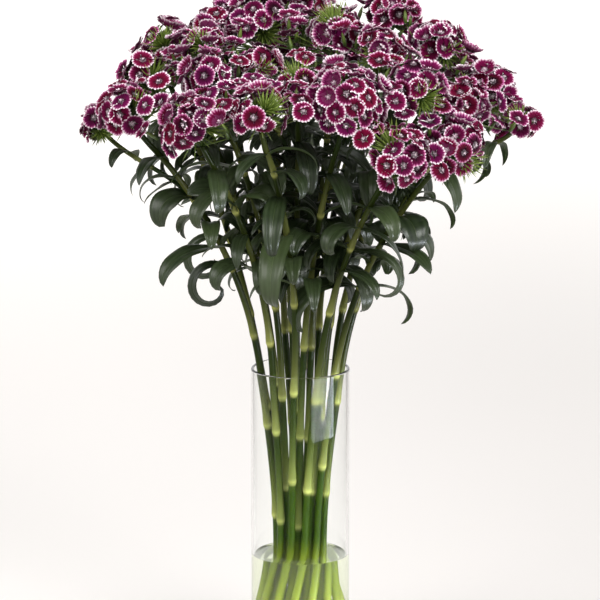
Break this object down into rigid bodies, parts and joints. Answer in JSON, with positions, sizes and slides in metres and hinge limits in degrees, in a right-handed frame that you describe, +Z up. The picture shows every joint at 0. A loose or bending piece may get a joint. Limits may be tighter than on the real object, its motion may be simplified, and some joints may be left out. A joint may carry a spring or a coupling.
{
  "type": "sweet william bouquet in a glass cylinder vase",
  "caption": "Round bunch of cut sweet williams, leafy under dense heads of toothed crimson florets with white margins, in a tall clear glass cylinder vase with shallow water",
  "frame": {"origin": "the middle of the vase's underside, on the surface that it stands on", "axes": "+Z up along the vase's axis, -Y to the front of the bouquet, +X to the right seen from the front"},
  "size_m": [0.4607, 0.4191, 0.6816],
  "materials": {
    "glass": "clear soda-lime glass, drawn cylinder, fire-polished rim",
    "water": "clear, slightly green vase water",
    "greens": "waxy green stems and leaves, paler at the joints",
    "petals": "velvety crimson florets with white eye and margin, green tufts between them"
  },
  "bodies": {
    "root": {"vase": "glass", "water": "water", "stem_01": "greens", "stem_02": "greens", "stem_03": "greens", "stem_04": "greens", "stem_05": "greens", "stem_06": "greens", "stem_07": "greens", "stem_08": "greens", "stem_09": "greens", "stem_10": "greens", "stem_11": "greens", "stem_12": "greens", "stem_13": "greens", "stem_14": "greens", "stem_15": "greens", "stem_16": "greens", "stem_17": "greens", "stem_18": "greens", "stem_19": "greens", "stem_20": "greens", "stem_21": "greens", "head_01": "petals", "head_02": "petals", "head_03": "petals", "head_04": "petals", "head_05": "petals", "head_06": "petals", "head_07": "petals", "head_08": "petals", "head_09": "petals", "head_10": "petals", "head_11": "petals", "head_12": "petals", "head_13": "petals", "head_14": "petals", "head_15": "petals", "head_16": "petals", "head_17": "petals", "head_18": "petals", "head_19": "petals", "head_20": "petals", "head_21": "petals", "head_22": "petals", "head_23": "petals", "head_24": "petals", "head_25": "petals", "head_26": "petals", "head_27": "petals", "head_28": "petals", "head_29": "petals", "head_30": "petals", "head_31": "petals", "head_32": "petals"}
  },
  "joints": []
}
